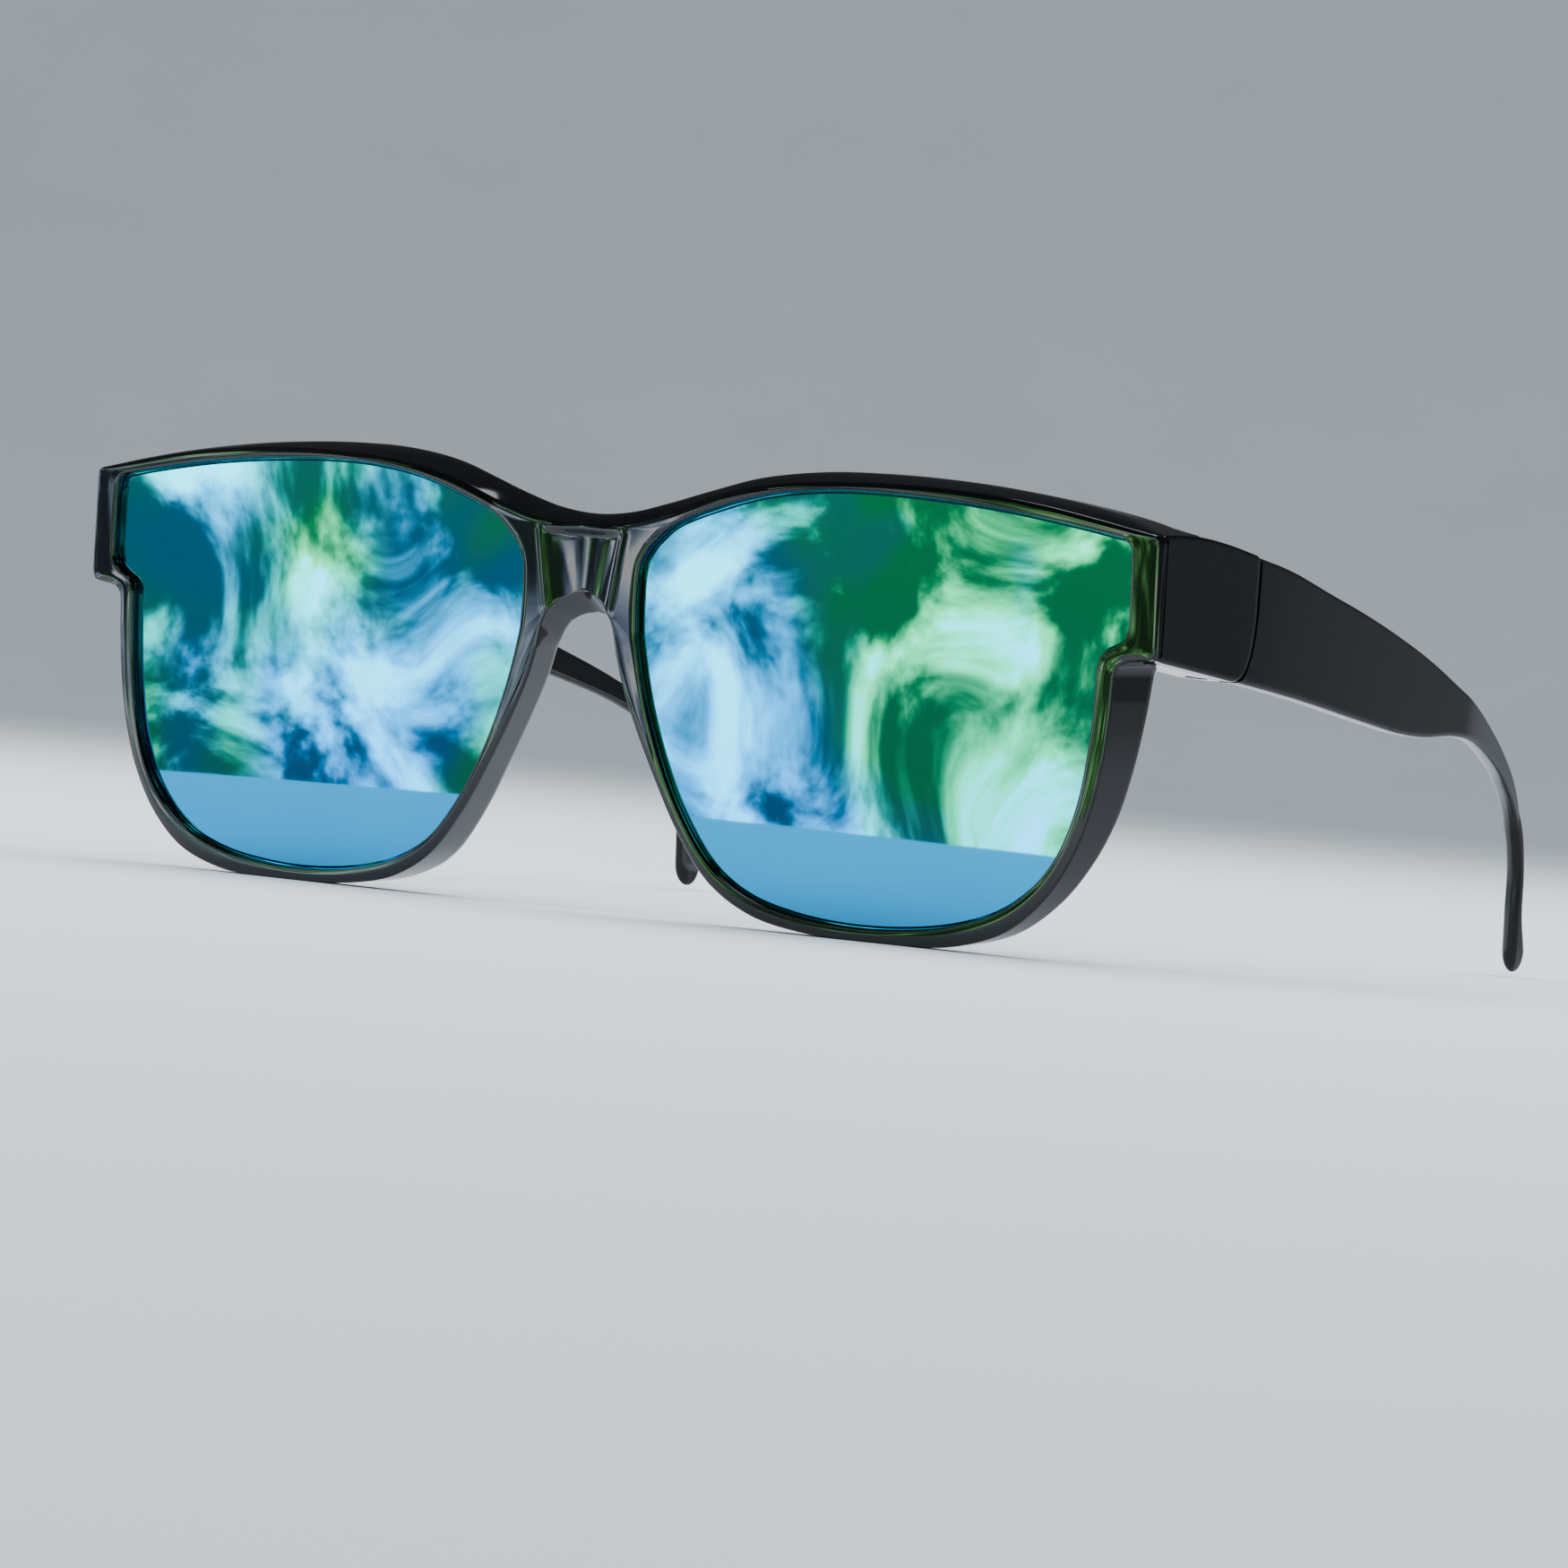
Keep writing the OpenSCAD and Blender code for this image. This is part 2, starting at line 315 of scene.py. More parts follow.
def node(tree: NodeTree, kind: str, settings: dict | None = None, **inputs) -> Node:
    """Adds a node with its settings and inputs.

    Args:
        tree: the tree that gets the node.
        kind: the node's type name.
        settings: properties to set on it.
        inputs: values, output sockets or whole nodes by input name, with _ for a space, or by place as i0, i1.
            A node stands for its first live output.

    Returns:
        The new node.
    """
    made = tree.nodes.new(kind)
    for key, value in (settings or {}).items():
        setattr(made, key, value)
    for key, value in inputs.items():
        slot = made.inputs[int(key[1:]) if key[0] == "i" and key[1:].isdigit() else key.replace("_", " ")]
        if isinstance(value, Node):
            value = next(socket for socket in value.outputs if socket.enabled)
        if isinstance(value, NodeSocket):
            tree.links.new(value, slot)
        else:
            slot.default_value = value
    return made


def blank(data: Material | World) -> NodeTree:
    """Turns on the nodes of a material or world and empties its tree."""
    data.use_nodes = True
    data.node_tree.nodes.clear()
    return data.node_tree


@dataclass(frozen=True)
class Finish:
    """A surface made the way its name says."""

    name: str
    colour: str
    second: str
    roughness: float
    roughness_span: float
    grain_mm: float
    bump_mm: float
    patch_mm: float = 9.0
    metallic: float = 0.0

    def material(self) -> Material:
        """Builds the material, or returns it if it is already there."""
        found = bpy.data.materials.get(self.name)
        if found:
            return found
        mat = bpy.data.materials.new(self.name)
        tree = blank(mat)
        where = node(tree, "ShaderNodeTexCoord").outputs["Object"]
        patch = node(tree, "ShaderNodeTexNoise", Vector=where, Scale=1 / (self.patch_mm * MM), Detail=3.0)
        grain = node(tree, "ShaderNodeTexNoise", Vector=where, Scale=1 / (self.grain_mm * MM), Detail=4.0)
        tone = node(tree, "ShaderNodeMix", {"data_type": "RGBA"}, Factor=patch,
                    A=linear(self.colour), B=linear(self.second))
        rough = node(tree, "ShaderNodeMapRange", Value=grain, To_Min=self.roughness,
                     To_Max=self.roughness + self.roughness_span)
        bump = node(tree, "ShaderNodeBump", Height=grain, Strength=0.5, Distance=self.bump_mm * MM)
        shader = node(tree, "ShaderNodeBsdfPrincipled", Base_Color=tone,
                      Roughness=rough, Normal=bump, Metallic=self.metallic)
        node(tree, "ShaderNodeOutputMaterial", Surface=shader)
        return mat


# Polished injection-moulded nylon: near black, wet gloss, with a trace of flow in the skin
FRONT_NYLON = Finish("polished moulded nylon", "#050506", "#08080a", 0.05, 0.03, 0.9, 0.0003)
# Satin injection-moulded nylon: the same black with a fine tool texture that spreads its highlights
TEMPLE_NYLON = Finish("satin moulded nylon", "#08090b", "#0b0c0f", 0.19, 0.04, 0.3, 0.0004)
# Smoke-tinted polarised sheet, uncoated on the eye side: dark grey under a clear gloss
SMOKE_SHEET = Finish("smoke polarised sheet", "#15181b", "#1a1e22", 0.05, 0.03, 2.0, 0.0003, patch_mm=30.0)
# Turned steel: bright, with fine turning marks
TURNED_STEEL = Finish("turned steel", "#b9bcc0", "#9fa3a8", 0.24, 0.12, 0.12, 0.002, patch_mm=1.5, metallic=1.0)
# Turned brass: warm yellow metal, slightly dulled
TURNED_BRASS = Finish("turned brass", "#c9a45c", "#b08a45", 0.26, 0.12, 0.12, 0.002, patch_mm=1.5, metallic=1.0)
# Natural nylon washer: milky white with a dull sheen
WASHER_NYLON = Finish("natural nylon", "#d9d6cc", "#cfcbbf", 0.42, 0.1, 0.2, 0.002, patch_mm=1.5)


@dataclass(frozen=True)
class MirrorCoat:
    """Vacuum-coated interference mirror: cyan blue seen square on, greener towards the brow, violet at the rim."""

    name: str = "interference mirror coat"
    low: str = "#0094cc"
    high: str = "#00b4c8"
    edge: str = "#5a7dff"
    drift_mm: float = 26.0
    wave_mm: float = 11.0
    wave_deep_mm: float = 0.02
    lens_foot_mm: float = 4.0
    lens_head_mm: float = 48.0
    roughness: float = 0.025

    def material(self) -> Material:
        """Builds the material, or returns it if it is already there."""
        found = bpy.data.materials.get(self.name)
        if found:
            return found
        mat = bpy.data.materials.new(self.name)
        tree = blank(mat)
        where = node(tree, "ShaderNodeTexCoord").outputs["Object"]
        parts = node(tree, "ShaderNodeSeparateXYZ", Vector=where)
        drift = node(tree, "ShaderNodeTexNoise", Vector=where, Scale=1 / (self.drift_mm * MM), Detail=2.0)
        climb = node(tree, "ShaderNodeMapRange", Value=parts.outputs["Z"],
                     From_Min=self.lens_foot_mm * MM, From_Max=self.lens_head_mm * MM)
        level = node(tree, "ShaderNodeMath", {"operation": "MULTIPLY_ADD"}, i0=drift, i1=0.5, i2=climb)
        share = node(tree, "ShaderNodeMapRange", Value=level, From_Min=0.3, From_Max=1.3)
        tone = node(tree, "ShaderNodeMix", {"data_type": "RGBA"}, Factor=share,
                    A=linear(self.low), B=linear(self.high))
        wave = node(tree, "ShaderNodeTexNoise", Vector=where, Scale=1 / (self.wave_mm * MM), Detail=1.0)
        bump = node(tree, "ShaderNodeBump", Height=wave, Strength=0.35, Distance=self.wave_deep_mm * MM)
        shader = node(tree, "ShaderNodeBsdfPrincipled", Base_Color=tone, Metallic=1.0,
                      Roughness=self.roughness, Normal=bump, Specular_Tint=linear(self.edge))
        node(tree, "ShaderNodeOutputMaterial", Surface=shader)
        return mat


MIRROR_COAT = MirrorCoat()


def dress(obj: Object, *finishes: Finish | MirrorCoat) -> None:
    """Gives an object its material slots, one for each finish.

    Args:
        obj: the object to dress.
        finishes: what goes in its slots, in order.
    """
    obj.data.materials.clear()
    for finish in finishes:
        obj.data.materials.append(finish.material())


# --- front ------------------------------------------------------------------


@dataclass
class FrontShell:
    """The moulded front: rims, brow, bridge with its keystone hollow, and the walls that run back from them."""

    edge_round: float = 0.45
    bead: float = 0.36
    sink: float = 0.95
    ridge_rise: float = 0.14
    nose_depth: float = 4.6
    lens_back: float = 2.9
    face_half: float = 72.4
    ridge_half: float = 73.0
    face_roll: float = 0.12
    lip_round: float = 0.35
    seat: float = 1.2  # depth of the front of the groove
    bead_back: float = 0.62
    bead_deep: float = 0.5
    brow_drop: float = 0.25
    ear_tuck: float = 0.2
    strip: float = 6 / 14  # share of the way from lens to edge where the plain rim is split into two strips
    knee: tuple = (4.29, 8.6)  # lower corner of the keystone panel
    panel_low: tuple = (4.39, 9.2)
    panel_high: tuple = (5.82, 17.4)
    panel_top: tuple = (5.9, 18.1)
    knee_end: tuple = (4.35, 9.2)
    lead_in: int = 24  # columns over which the strips part, below the keystone and on the brow
    brow_lead: int = 26
    counts: tuple = (170, 46, 26, 150, 46, 44)  # columns of brow, ear side, step, flank, arch and middle
    side_depth: tuple = ((-30, 5.4), (-24, 6.0), (-19, 7.4), (-10, 9.4), (0, 10.8), (8, 12.0), (30, 12.4))
    plan_depth: tuple = ((0, 4.6), (10, 4.7), (16, 5.6), (24, 7.0), (34, 8.8), (46, 10.4), (60, 12.0), (80, 12.6))
    face_top: tuple = (
        (0, 17.9), (2.5, 17.93), (5.8, 18.1), (8, 18.45), (11.7, 19.6), (18, 22.0), (25, 23.5), (35.4, 24.4),
        (46.5, 24.5), (57.7, 23.6), (66.5, 22.1), (72.4, 21.03))
    ridge_top: tuple = (
        (0, 19.5), (5, 20.0), (10, 21.3), (15.5, 23.0), (21.5, 24.7), (29, 25.7), (36.5, 25.9), (44, 25.7),
        (52, 25.1), (60.5, 24.0), (67.5, 22.7), (73.0, 21.2))
    lens_top: tuple = (
        (9.4, 16.2), (12.2, 18.6), (17.3, 20.7), (23.9, 22.6), (30, 23.5), (36, 23.8), (45.5, 23.5), (54.6, 22.7),
        (62.5, 21.6), (68.9, 20.5))
    ridge_back: tuple = ((0, 3.2), (10, 3.4), (20, 4.4), (35, 5.6), (55, 6.0), (66, 4.6), (73, 1.2))
    ear_face: tuple = (
        (72.4, 21.03), (72.95, 20.75), (73.15, 20.1), (73.15, 19.2), (73.15, 14.0), (73.15, 9.4), (73.1, 8.7),
        (72.8, 8.2), (72.2, 8.05))
    ear_ridge: tuple = (
        (73.0, 21.2), (73.45, 20.9), (73.6, 20.2), (73.6, 19.2), (73.6, 14.0), (73.6, 9.4), (73.55, 8.5),
        (73.15, 7.8), (72.2, 7.6))
    ear_lens: tuple = (
        (68.9, 20.5), (69.6, 20.1), (69.95, 19.5), (70.1, 18.7), (70.2, 14.0), (70.2, 11.4), (70.1, 10.5),
        (69.8, 9.7), (69.2, 9.25))
    step_face: tuple = ((72.2, 8.05), (70.4, 7.8), (69.1, 7.2), (68.5, 6.3), (68.35, 5.1))
    step_ridge: tuple = ((72.2, 7.6), (70.4, 7.35), (69.35, 6.85), (68.9, 6.1), (68.8, 5.1))
    step_lens: tuple = ((69.2, 9.25), (68.6, 8.9), (67.7, 8.45), (67.0, 7.7), (66.72, 6.8))
    flank_ridge: tuple = (
        (68.8, 5.1), (68.6, 1.5), (67.9, -4.5), (66.7, -9.8), (64.8, -14.6), (61.7, -19.2), (57.2, -22.9),
        (51.0, -24.9), (45.5, -25.35), (38.0, -25.35), (31.5, -25.0), (25.0, -23.7), (19.4, -20.6), (15.0, -15.4),
        (11.3, -9.2), (8.2, -3.2), (6.4, 1.0), (5.5, 4.0))
    flank_lens: tuple = (
        (66.72, 6.8), (66.6, 2.4), (66.1, -3.2), (65.1, -8.8), (63.2, -13.8), (60.4, -17.6), (56.4, -20.6),
        (50.8, -22.6), (44.2, -23.6), (37.4, -23.8), (30.4, -23.1), (24.4, -21.5), (19.4, -18.4), (15.0, -12.8),
        (12.0, -7.0), (9.9, -1.4), (8.9, 2.2))
    arch_face: tuple = (
        (5.95, 4.0), (5.5, 5.5), (5.2, 6.6), (4.81, 7.6), (4.29, 8.6), (3.48, 9.6), (2.28, 10.5), (1.1, 10.97),
        (0, 11.1))
    arch_ridge: tuple = (
        (5.5, 4.0), (5.22, 5.3), (4.95, 6.5), (4.55, 7.5), (4.0, 8.4), (3.2, 9.35), (2.05, 10.2), (1.0, 10.62),
        (0, 10.75))
    arch_rear: tuple = (
        (5.5, 4.0), (5.1, 4.75), (4.75, 5.5), (4.3, 6.3), (3.5, 7.2), (2.4, 7.85), (1.2, 8.2), (0, 8.3))
    arch_lens: tuple = ((8.9, 2.2), (8.5, 4.0), (8.1, 6.0), (7.95, 8.0), (7.9, 9.5))
    mid_lens: tuple = ((7.9, 9.5), (7.95, 12.6), (8.3, 14.4), (9.4, 16.2))

    def depth(self, p: np.ndarray) -> np.ndarray:
        """Depth of the walls at flat points (x, z)."""
        side = np.interp(p[:, 1], *np.array(self.side_depth).T)
        return np.minimum(side, table(self.plan_depth, p[:, 0]))

    def hollow(self, p: np.ndarray) -> np.ndarray:
        """How far the keystone panel lies behind the front face, its two ridges standing out.

        Args:
            p: flat points (x, z).

        Returns:
            One depth for each point.
        """
        ridge = self.knee[0] + (p[:, 1] - self.knee[1]) * 0.1695
        share = np.clip(np.abs(p[:, 0]) / ridge, 0, 1)
        fade = ease(np.clip((17.95 - p[:, 1]) / 1.1, 0, 1))
        window = np.clip((p[:, 1] - 8.0) / 0.9, 0, 1) * np.clip((18.3 - p[:, 1]) / 0.8, 0, 1)
        rise = self.ridge_rise * np.exp(-(((np.abs(p[:, 0]) - ridge) / 0.42) ** 2)) * window
        return self.sink * (1 - share**2) * fade * (p[:, 1] > 6) - rise

    def loops(self) -> dict:
        """Matching loops of the +X half: lens opening, face edge, ridge and rear edge.

        Returns:
            Flat points by loop name, one row for each column of the mesh, the lens loop's outward normals, and
            the first column of each part.
        """
        top, ear, step, flank, arch, mid = self.counts
        x = self.face_half * np.arange(top) / top
        near = np.clip(1 - x / 24, 0, 1) ** 2
        far = np.clip((x - 58) / 14.4, 0, 1)
        lens_x = x + 9.4 * near - 3.5 * ease(far)
        ridge_x = x * self.ridge_half / self.face_half

        def part(points: tuple, n: int) -> np.ndarray:
            """Samples a part evenly, without its last point."""
            return along(smooth(points), np.arange(n) / n)

        def middle(low: float, high: float) -> np.ndarray:
            """Points up the middle plane, without the last."""
            return np.linspace((0, low), (0, high), mid, endpoint=False)

        lens = np.vstack([np.stack([lens_x, table(self.lens_top, lens_x)], -1), part(self.ear_lens, ear),
                          part(self.step_lens, step), part(self.flank_lens, flank), part(self.arch_lens, arch),
                          part(self.mid_lens, mid)])
        flank_ridge = part(self.flank_ridge, flank)
        inset = normals_of(flank_ridge, False)
        inset[0] = (1, 0)
        inset[-1] = inset[-2]
        face = np.vstack([np.stack([x, table(self.face_top, x)], -1), part(self.ear_face, ear),
                          part(self.step_face, step), flank_ridge - inset * self.edge_round,
                          part(self.arch_face, arch), middle(11.1, 17.9)])
        shared = [np.stack([ridge_x, table(self.ridge_top, ridge_x)], -1), part(self.ear_ridge, ear),
                  part(self.step_ridge, step), flank_ridge]
        ridge = np.vstack([*shared, part(self.arch_ridge, arch), middle(10.75, 19.5)])
        rear = np.vstack([*shared, part(self.arch_rear, arch), middle(8.3, 19.5)])
        starts = np.cumsum([0, *self.counts])
        return {"lens": lens, "outward": normals_of(lens, True), "face": face, "ridge": ridge, "rear": rear,
                "starts": starts}

    def keystone(self, loops: dict) -> np.ndarray:
        """Where each column crosses the line that parts the two strips of the face.

        Args:
            loops: what loops() gives.

        Returns:
            Flat points, which lie on the keystone's edge beside the nose.
        """
        lens = loops["lens"] + loops["outward"] * self.bead
        face, (brow_end, arch, mid) = loops["face"], loops["starts"][[1, 4, 5]]
        n, lead = len(lens), arch - self.lead_in
        first = arch + int(np.argmin(np.abs(face[arch:mid, 0] - self.knee[0])))
        last = int(np.argmin(np.abs(face[:brow_end, 0] - self.panel_top[0])))
        share = np.full(n, self.strip)
        share[lead:first] += (1 - self.strip) * ease(np.arange(first - lead) / (first - lead))
        share[last:last + self.brow_lead] += (1 - self.strip) * ease(1 - np.arange(self.brow_lead) / self.brow_lead)
        edge = lens + (face - lens) * share[:, None]
        edge[first:mid] = np.linspace(self.knee, self.knee_end, mid - first, endpoint=False)
        edge[mid:] = np.linspace(self.panel_low, self.panel_high, n - mid, endpoint=False)
        edge[:last] = np.linspace(self.panel_high, self.panel_top, last, endpoint=False)
        return edge

    def lip_rows(self, loops: dict) -> list:
        """Rows of the opening, from the rear face forwards over the bead.

        Args:
            loops: what loops() gives.

        Returns:
            The rows.
        """
        lens, outward = loops["lens"], loops["outward"]
        front = STANCE.wrapped(lens[:, 0])
        rows = [stand(lens + outward * inset, self.depth(lens) - up)
                for inset, up in ((self.lip_round, 0.0), (0.1, 0.1), (0.0, self.lip_round))]
        rows += [stand(lens, front + back) for back in (self.lens_back + 0.3, self.seat, self.bead_back)]
        for t in np.radians((15, 40, 65)):
            p = lens + outward * self.bead * (1 - math.cos(t))
            rows.append(stand(p, front + self.bead_back - self.bead_deep * math.sin(t)))
        return rows

    def face_rows(self, loops: dict, roll: np.ndarray) -> list:
        """Rows of the front face, from the bead out to the face's edge.

        Args:
            loops: what loops() gives.
            roll: how far the face has turned back at its edge, for each column.

        Returns:
            The rows.
        """
        start = loops["lens"] + loops["outward"] * self.bead
        edge, face = self.keystone(loops), loops["face"]
        rows = []
        for s in np.arange(10) / 9:
            p = lerp(start, edge, 1 - (1 - s) ** 1.6)
            crown = 0.1 * (1 - math.sin(math.pi * (0.08 + 0.5 * s)))
            rows.append(stand(p, STANCE.wrapped(p[:, 0]) + crown + self.hollow(p)))
        for s in np.arange(1, 12) / 11:
            p = lerp(edge, face, s**1.5)
            rows.append(stand(p, STANCE.wrapped(p[:, 0]) + self.hollow(p) + roll * s**3))
        return rows

    def bevel_rows(self, loops: dict, front: np.ndarray, back: np.ndarray, brow: np.ndarray) -> list:
        """Rows of the rounded edge between the face and the ridge.

        Args:
            loops: what loops() gives.
            front: depth of the face's edge, for each column.
            back: how far the ridge lies behind it.
            brow: 1 on the brow, which has a crest and a long slope, and 0 where the edge is a quarter round.

        Returns:
            The rows.
        """
        rows = []
        crest, crest_back = 0.3, 0.07
        for k in range(1, 8):
            turn = k / 7 * math.pi / 2
            if k <= 3:
                q = k / 3 * math.pi / 2
                top_z, top_y = crest * math.sin(q), crest_back * (1 - math.cos(q))
            else:
                q = (k - 3) / 4
                top_z = crest + (1 - crest) * math.sin(q * math.pi / 2) ** 0.9
                top_y = crest_back + (1 - crest_back) * q
            share = brow * top_z + (1 - brow) * math.sin(turn)
            depth = front + back * (brow * top_y + (1 - brow) * (1 - math.cos(turn)))
            rows.append(stand(lerp(loops["face"], loops["ridge"], share[:, None]), depth))
        return rows

    def wall_rows(self, loops: dict, ridge_y: np.ndarray, brow: np.ndarray) -> tuple:
        """Rows of the outer wall and of the rear face.

        Args:
            loops: what loops() gives.
            ridge_y: depth of the ridge, for each column.
            brow: 1 on the brow, which sinks a little towards the rear, and 0 elsewhere.

        Returns:
            The wall's rows, then those of the rear face.
        """
        lens, ridge, rear, starts = (loops[k] for k in ("lens", "ridge", "rear", "starts"))
        n, mid = len(lens), starts[5]
        normal = np.zeros((n, 2))
        normal[:mid] = normals_of(ridge[:mid], False)
        normal[mid - 10:mid] *= np.linspace(1, 0, 10)[:, None]
        tuck = np.zeros((n, 2))
        ear = slice(starts[1] + 4, starts[2] - 4)
        tuck[ear] = self.ear_tuck * normal[ear]
        drop = np.stack([np.zeros(n), self.brow_drop * brow], -1)
        rear_y = self.depth(rear)
        rear_y[mid:] = self.nose_depth
        wall = [stand(lerp(ridge, rear, s) - tuck - drop * s, lerp(ridge_y, rear_y - self.lip_round, s))
                for s in (0.04, 0.2, 0.45, 0.7, 0.9, 1.0)]
        edge = rear - tuck - drop
        inner = edge - normal * self.lip_round
        goal = lens + loops["outward"] * self.lip_round
        back = [stand(edge - normal * 0.1, self.depth_of(edge, mid) - 0.1), stand(inner, self.depth_of(edge, mid))]
        back += [stand(p, self.depth_of(p, mid)) for p in (lerp(inner, goal, s) for s in (0.33, 0.67))]
        return wall, back

    def build(self) -> Object:
        """Builds both halves of the front as one mesh.

        Returns:
            The front shell.
        """
        loops = self.loops()
        face, (brow_end, ear_end, arch, mid) = loops["face"], loops["starts"][[1, 2, 4, 5]]
        n = len(face)
        roll = np.full(n, self.face_roll)
        roll[arch:] = 0.0
        roll[arch - self.lead_in:arch] = self.face_roll * np.linspace(1, 0, self.lead_in)
        roll[n - 8:] = self.face_roll * np.linspace(0, 1, 8)
        back = np.full(n, self.edge_round)
        back[:brow_end] = table(self.ridge_back, face[:brow_end, 0])
        back[arch:] = self.lip_round
        ear = ear_end - brow_end
        corner = np.linspace(1.2, self.edge_round, ear) * np.linspace(1, 0.6, ear)
        back[brow_end:ear_end] = np.maximum(corner, self.edge_round)
        brow = np.zeros(n)
        brow[:brow_end] = np.clip((self.face_half - face[:brow_end, 0]) / 3, 0, 1)
        front = STANCE.wrapped(face[:, 0]) + self.hollow(face) + roll
        rows = self.lip_rows(loops) + self.face_rows(loops, roll)
        bevel = self.bevel_rows(loops, front, back, brow)
        wall, rear = self.wall_rows(loops, front + back, brow)
        # The columns up the middle plane close no wall: the two halves meet there
        edge = len(rows) - 1
        skip = {(k, i) for k in range(edge, edge + len(bevel) + len(wall) + 2) for i in range(mid, n)}
        kit = MeshKit()
        kit.skin(rows + bevel + wall + rear + rows[:1], skip=skip)
        obj = kit.build("front_shell")
        dress(obj, FRONT_NYLON)
        return obj

    def depth_of(self, p: np.ndarray, mid: int) -> np.ndarray:
        """Depth of the rear face, level across the bridge.

        Args:
            p: flat points, one for each column.
            mid: first column of the middle plane.

        Returns:
            One depth for each point.
        """
        d = self.depth(np.abs(p) * [1, 0] + p * [0, 1])
        d[mid:] = np.minimum(d[mid:], self.nose_depth + 0.1 * np.clip(p[mid:, 0] / 10, 0, 1))
        return d


@dataclass
class Endpiece:
    """The box at the side of the front that covers a hinge, with its two lugs."""

    side: Side
    out: float = 3.7
    cover: float = 1.35
    lug: float = 2.7
    edge_round: float = 0.35
    top: tuple = ((-16.65, 12.9), (-16.3, 13.35), (-15.2, 13.65), (-8.6, 14.4), (-2.0, 14.5), (4.0, 14.25))
    split: tuple = ((4.6, 13.9), (5.0, 10.5), (5.3, 6.6), (4.95, 3.2), (4.15, 1.3), (3.0, 0.3), (1.8, 0.0))

    def build(self) -> Object:
        """Builds the cover plate and both lugs as one mesh.

        Returns:
            The endpiece.
        """
        kit = MeshKit()
        low = np.array([[1.2, 0.0], [-4.0, 0.0], [-9.0, 0.0], [-13.5, 0.0], [-14.7, 0.1], [-15.1, 0.5]])
        front = np.array([[-15.5, 4.0], [-16.1, 8.5]])
        outline = np.vstack([smooth(self.top, 6), smooth(self.split, 6), low, front])
        levels = [(self.out + h, i) for h, i in rounded(self.cover, self.edge_round)[:6]]
        levels = [(self.out, 1.0)] + levels[:-1] + [(self.out - self.cover, 0.0)]

        def upright(p: np.ndarray, across: float) -> np.ndarray:
            """Side-view points at a distance across."""
            return STANCE.from_hinge(across, p[:, 0], p[:, 1])

        prism(kit, outline, levels, upright)
        for foot, thick, hole in ((0.0, 2.0, 1.32), (12.0, 2.35, 0.0)):
            self.add_lug(kit, foot, thick, hole)
        obj = kit.build(f"endpiece_{self.side.word}", self.side, 30.0)
        dress(obj, FRONT_NYLON)
        return obj

    def add_lug(self, kit: MeshKit, foot: float, thick: float, hole: float) -> None:
        """Adds one lug with a rounded end, and with a sunk hole for the screw's head if it has one.

        Args:
            kit: where the faces go.
            foot: height of its underside over the endpiece's underside.
            thick: its thickness.
            hole: radius of the sunk hole, or 0.
        """
        turn = np.radians(np.linspace(180, 0, 25))
        arc = np.stack([self.lug * np.cos(turn), self.lug * np.sin(turn)], -1)
        right = self.out - self.cover - 0.02
        block = [(-self.lug, y) for y in (-12.0, -8.0, -4.0)] + [tuple(p) for p in arc if p[0] <= right]
        outline = np.array(block + [(right, y) for y in (-1.0, -5.0, -9.0, -12.0)])
        n = normals_of(outline, True)
        r = 0.2

        ang = np.arctan2(outline[:, 1] + 0.01, outline[:, 0])
        ring = (hole or 0.72) * np.stack([np.cos(ang), np.sin(ang)], -1)
        rows = [level(ring * (0.56 if hole else 1.0), foot + thick),
                level(outline - n * r, foot + thick), level(outline, foot + thick - r),
                level(outline, foot + r), level(outline - n * r, foot), level(ring * 1.12, foot)]
        if hole:
            rows += [level(ring, foot + 0.15), level(ring, foot + 1.12), level(ring * 0.57, foot + 1.12)]
        kit.skin(rows + rows[:1])


@dataclass
class MirrorLens:
    """One mirror-coated lens, held in the rim."""

    side: Side
    recess: float = 1.25
    thick: float = 1.65
    held: float = 0.45
    centre: tuple = (39.0, 1.5)
    half: tuple = (33, 26)
    crown: float = 0.12

    def build(self, shell: FrontShell) -> Object:
        """Builds the lens to the front's opening.

        Args:
            shell: the front that holds the lens.

        Returns:
            The lens, mirror coat on its front and smoke sheet behind.
        """
        loops = shell.loops()
        loop, outward = loops["lens"], loops["outward"]
        centre = np.array(self.centre)

        def row(p: np.ndarray, y: float) -> np.ndarray:
            """Flat points at a depth behind the curved front."""
            share = 1 - np.linalg.norm((p - centre) / self.half, axis=1) ** 2
            return stand(p, STANCE.wrapped(p[:, 0]) + y - self.crown * np.clip(share, 0, 1))

        lip = loop + outward * self.held
        bevel = loop - outward * 0.3
        rings = [centre + (bevel - centre) * s for s in np.linspace(0.02, 1, 22)]
        front = [row(p, self.recess) for p in rings]
        back = [row(p, self.recess + self.thick) for p in reversed(rings)]
        rows = front + [row(loop - outward * 0.05, self.recess + 0.14), row(lip, self.recess + 0.14),
                        row(lip, self.recess + self.thick)] + back
        kit = MeshKit()
        kit.skin(rows, ends=True)
        obj = kit.build(f"mirror_lens_{self.side.word}", self.side, 12.0)
        dress(obj, MIRROR_COAT, SMOKE_SHEET)
        for poly in obj.data.polygons:
            poly.material_index = 0 if poly.normal.y < -0.2 else 1
        return obj


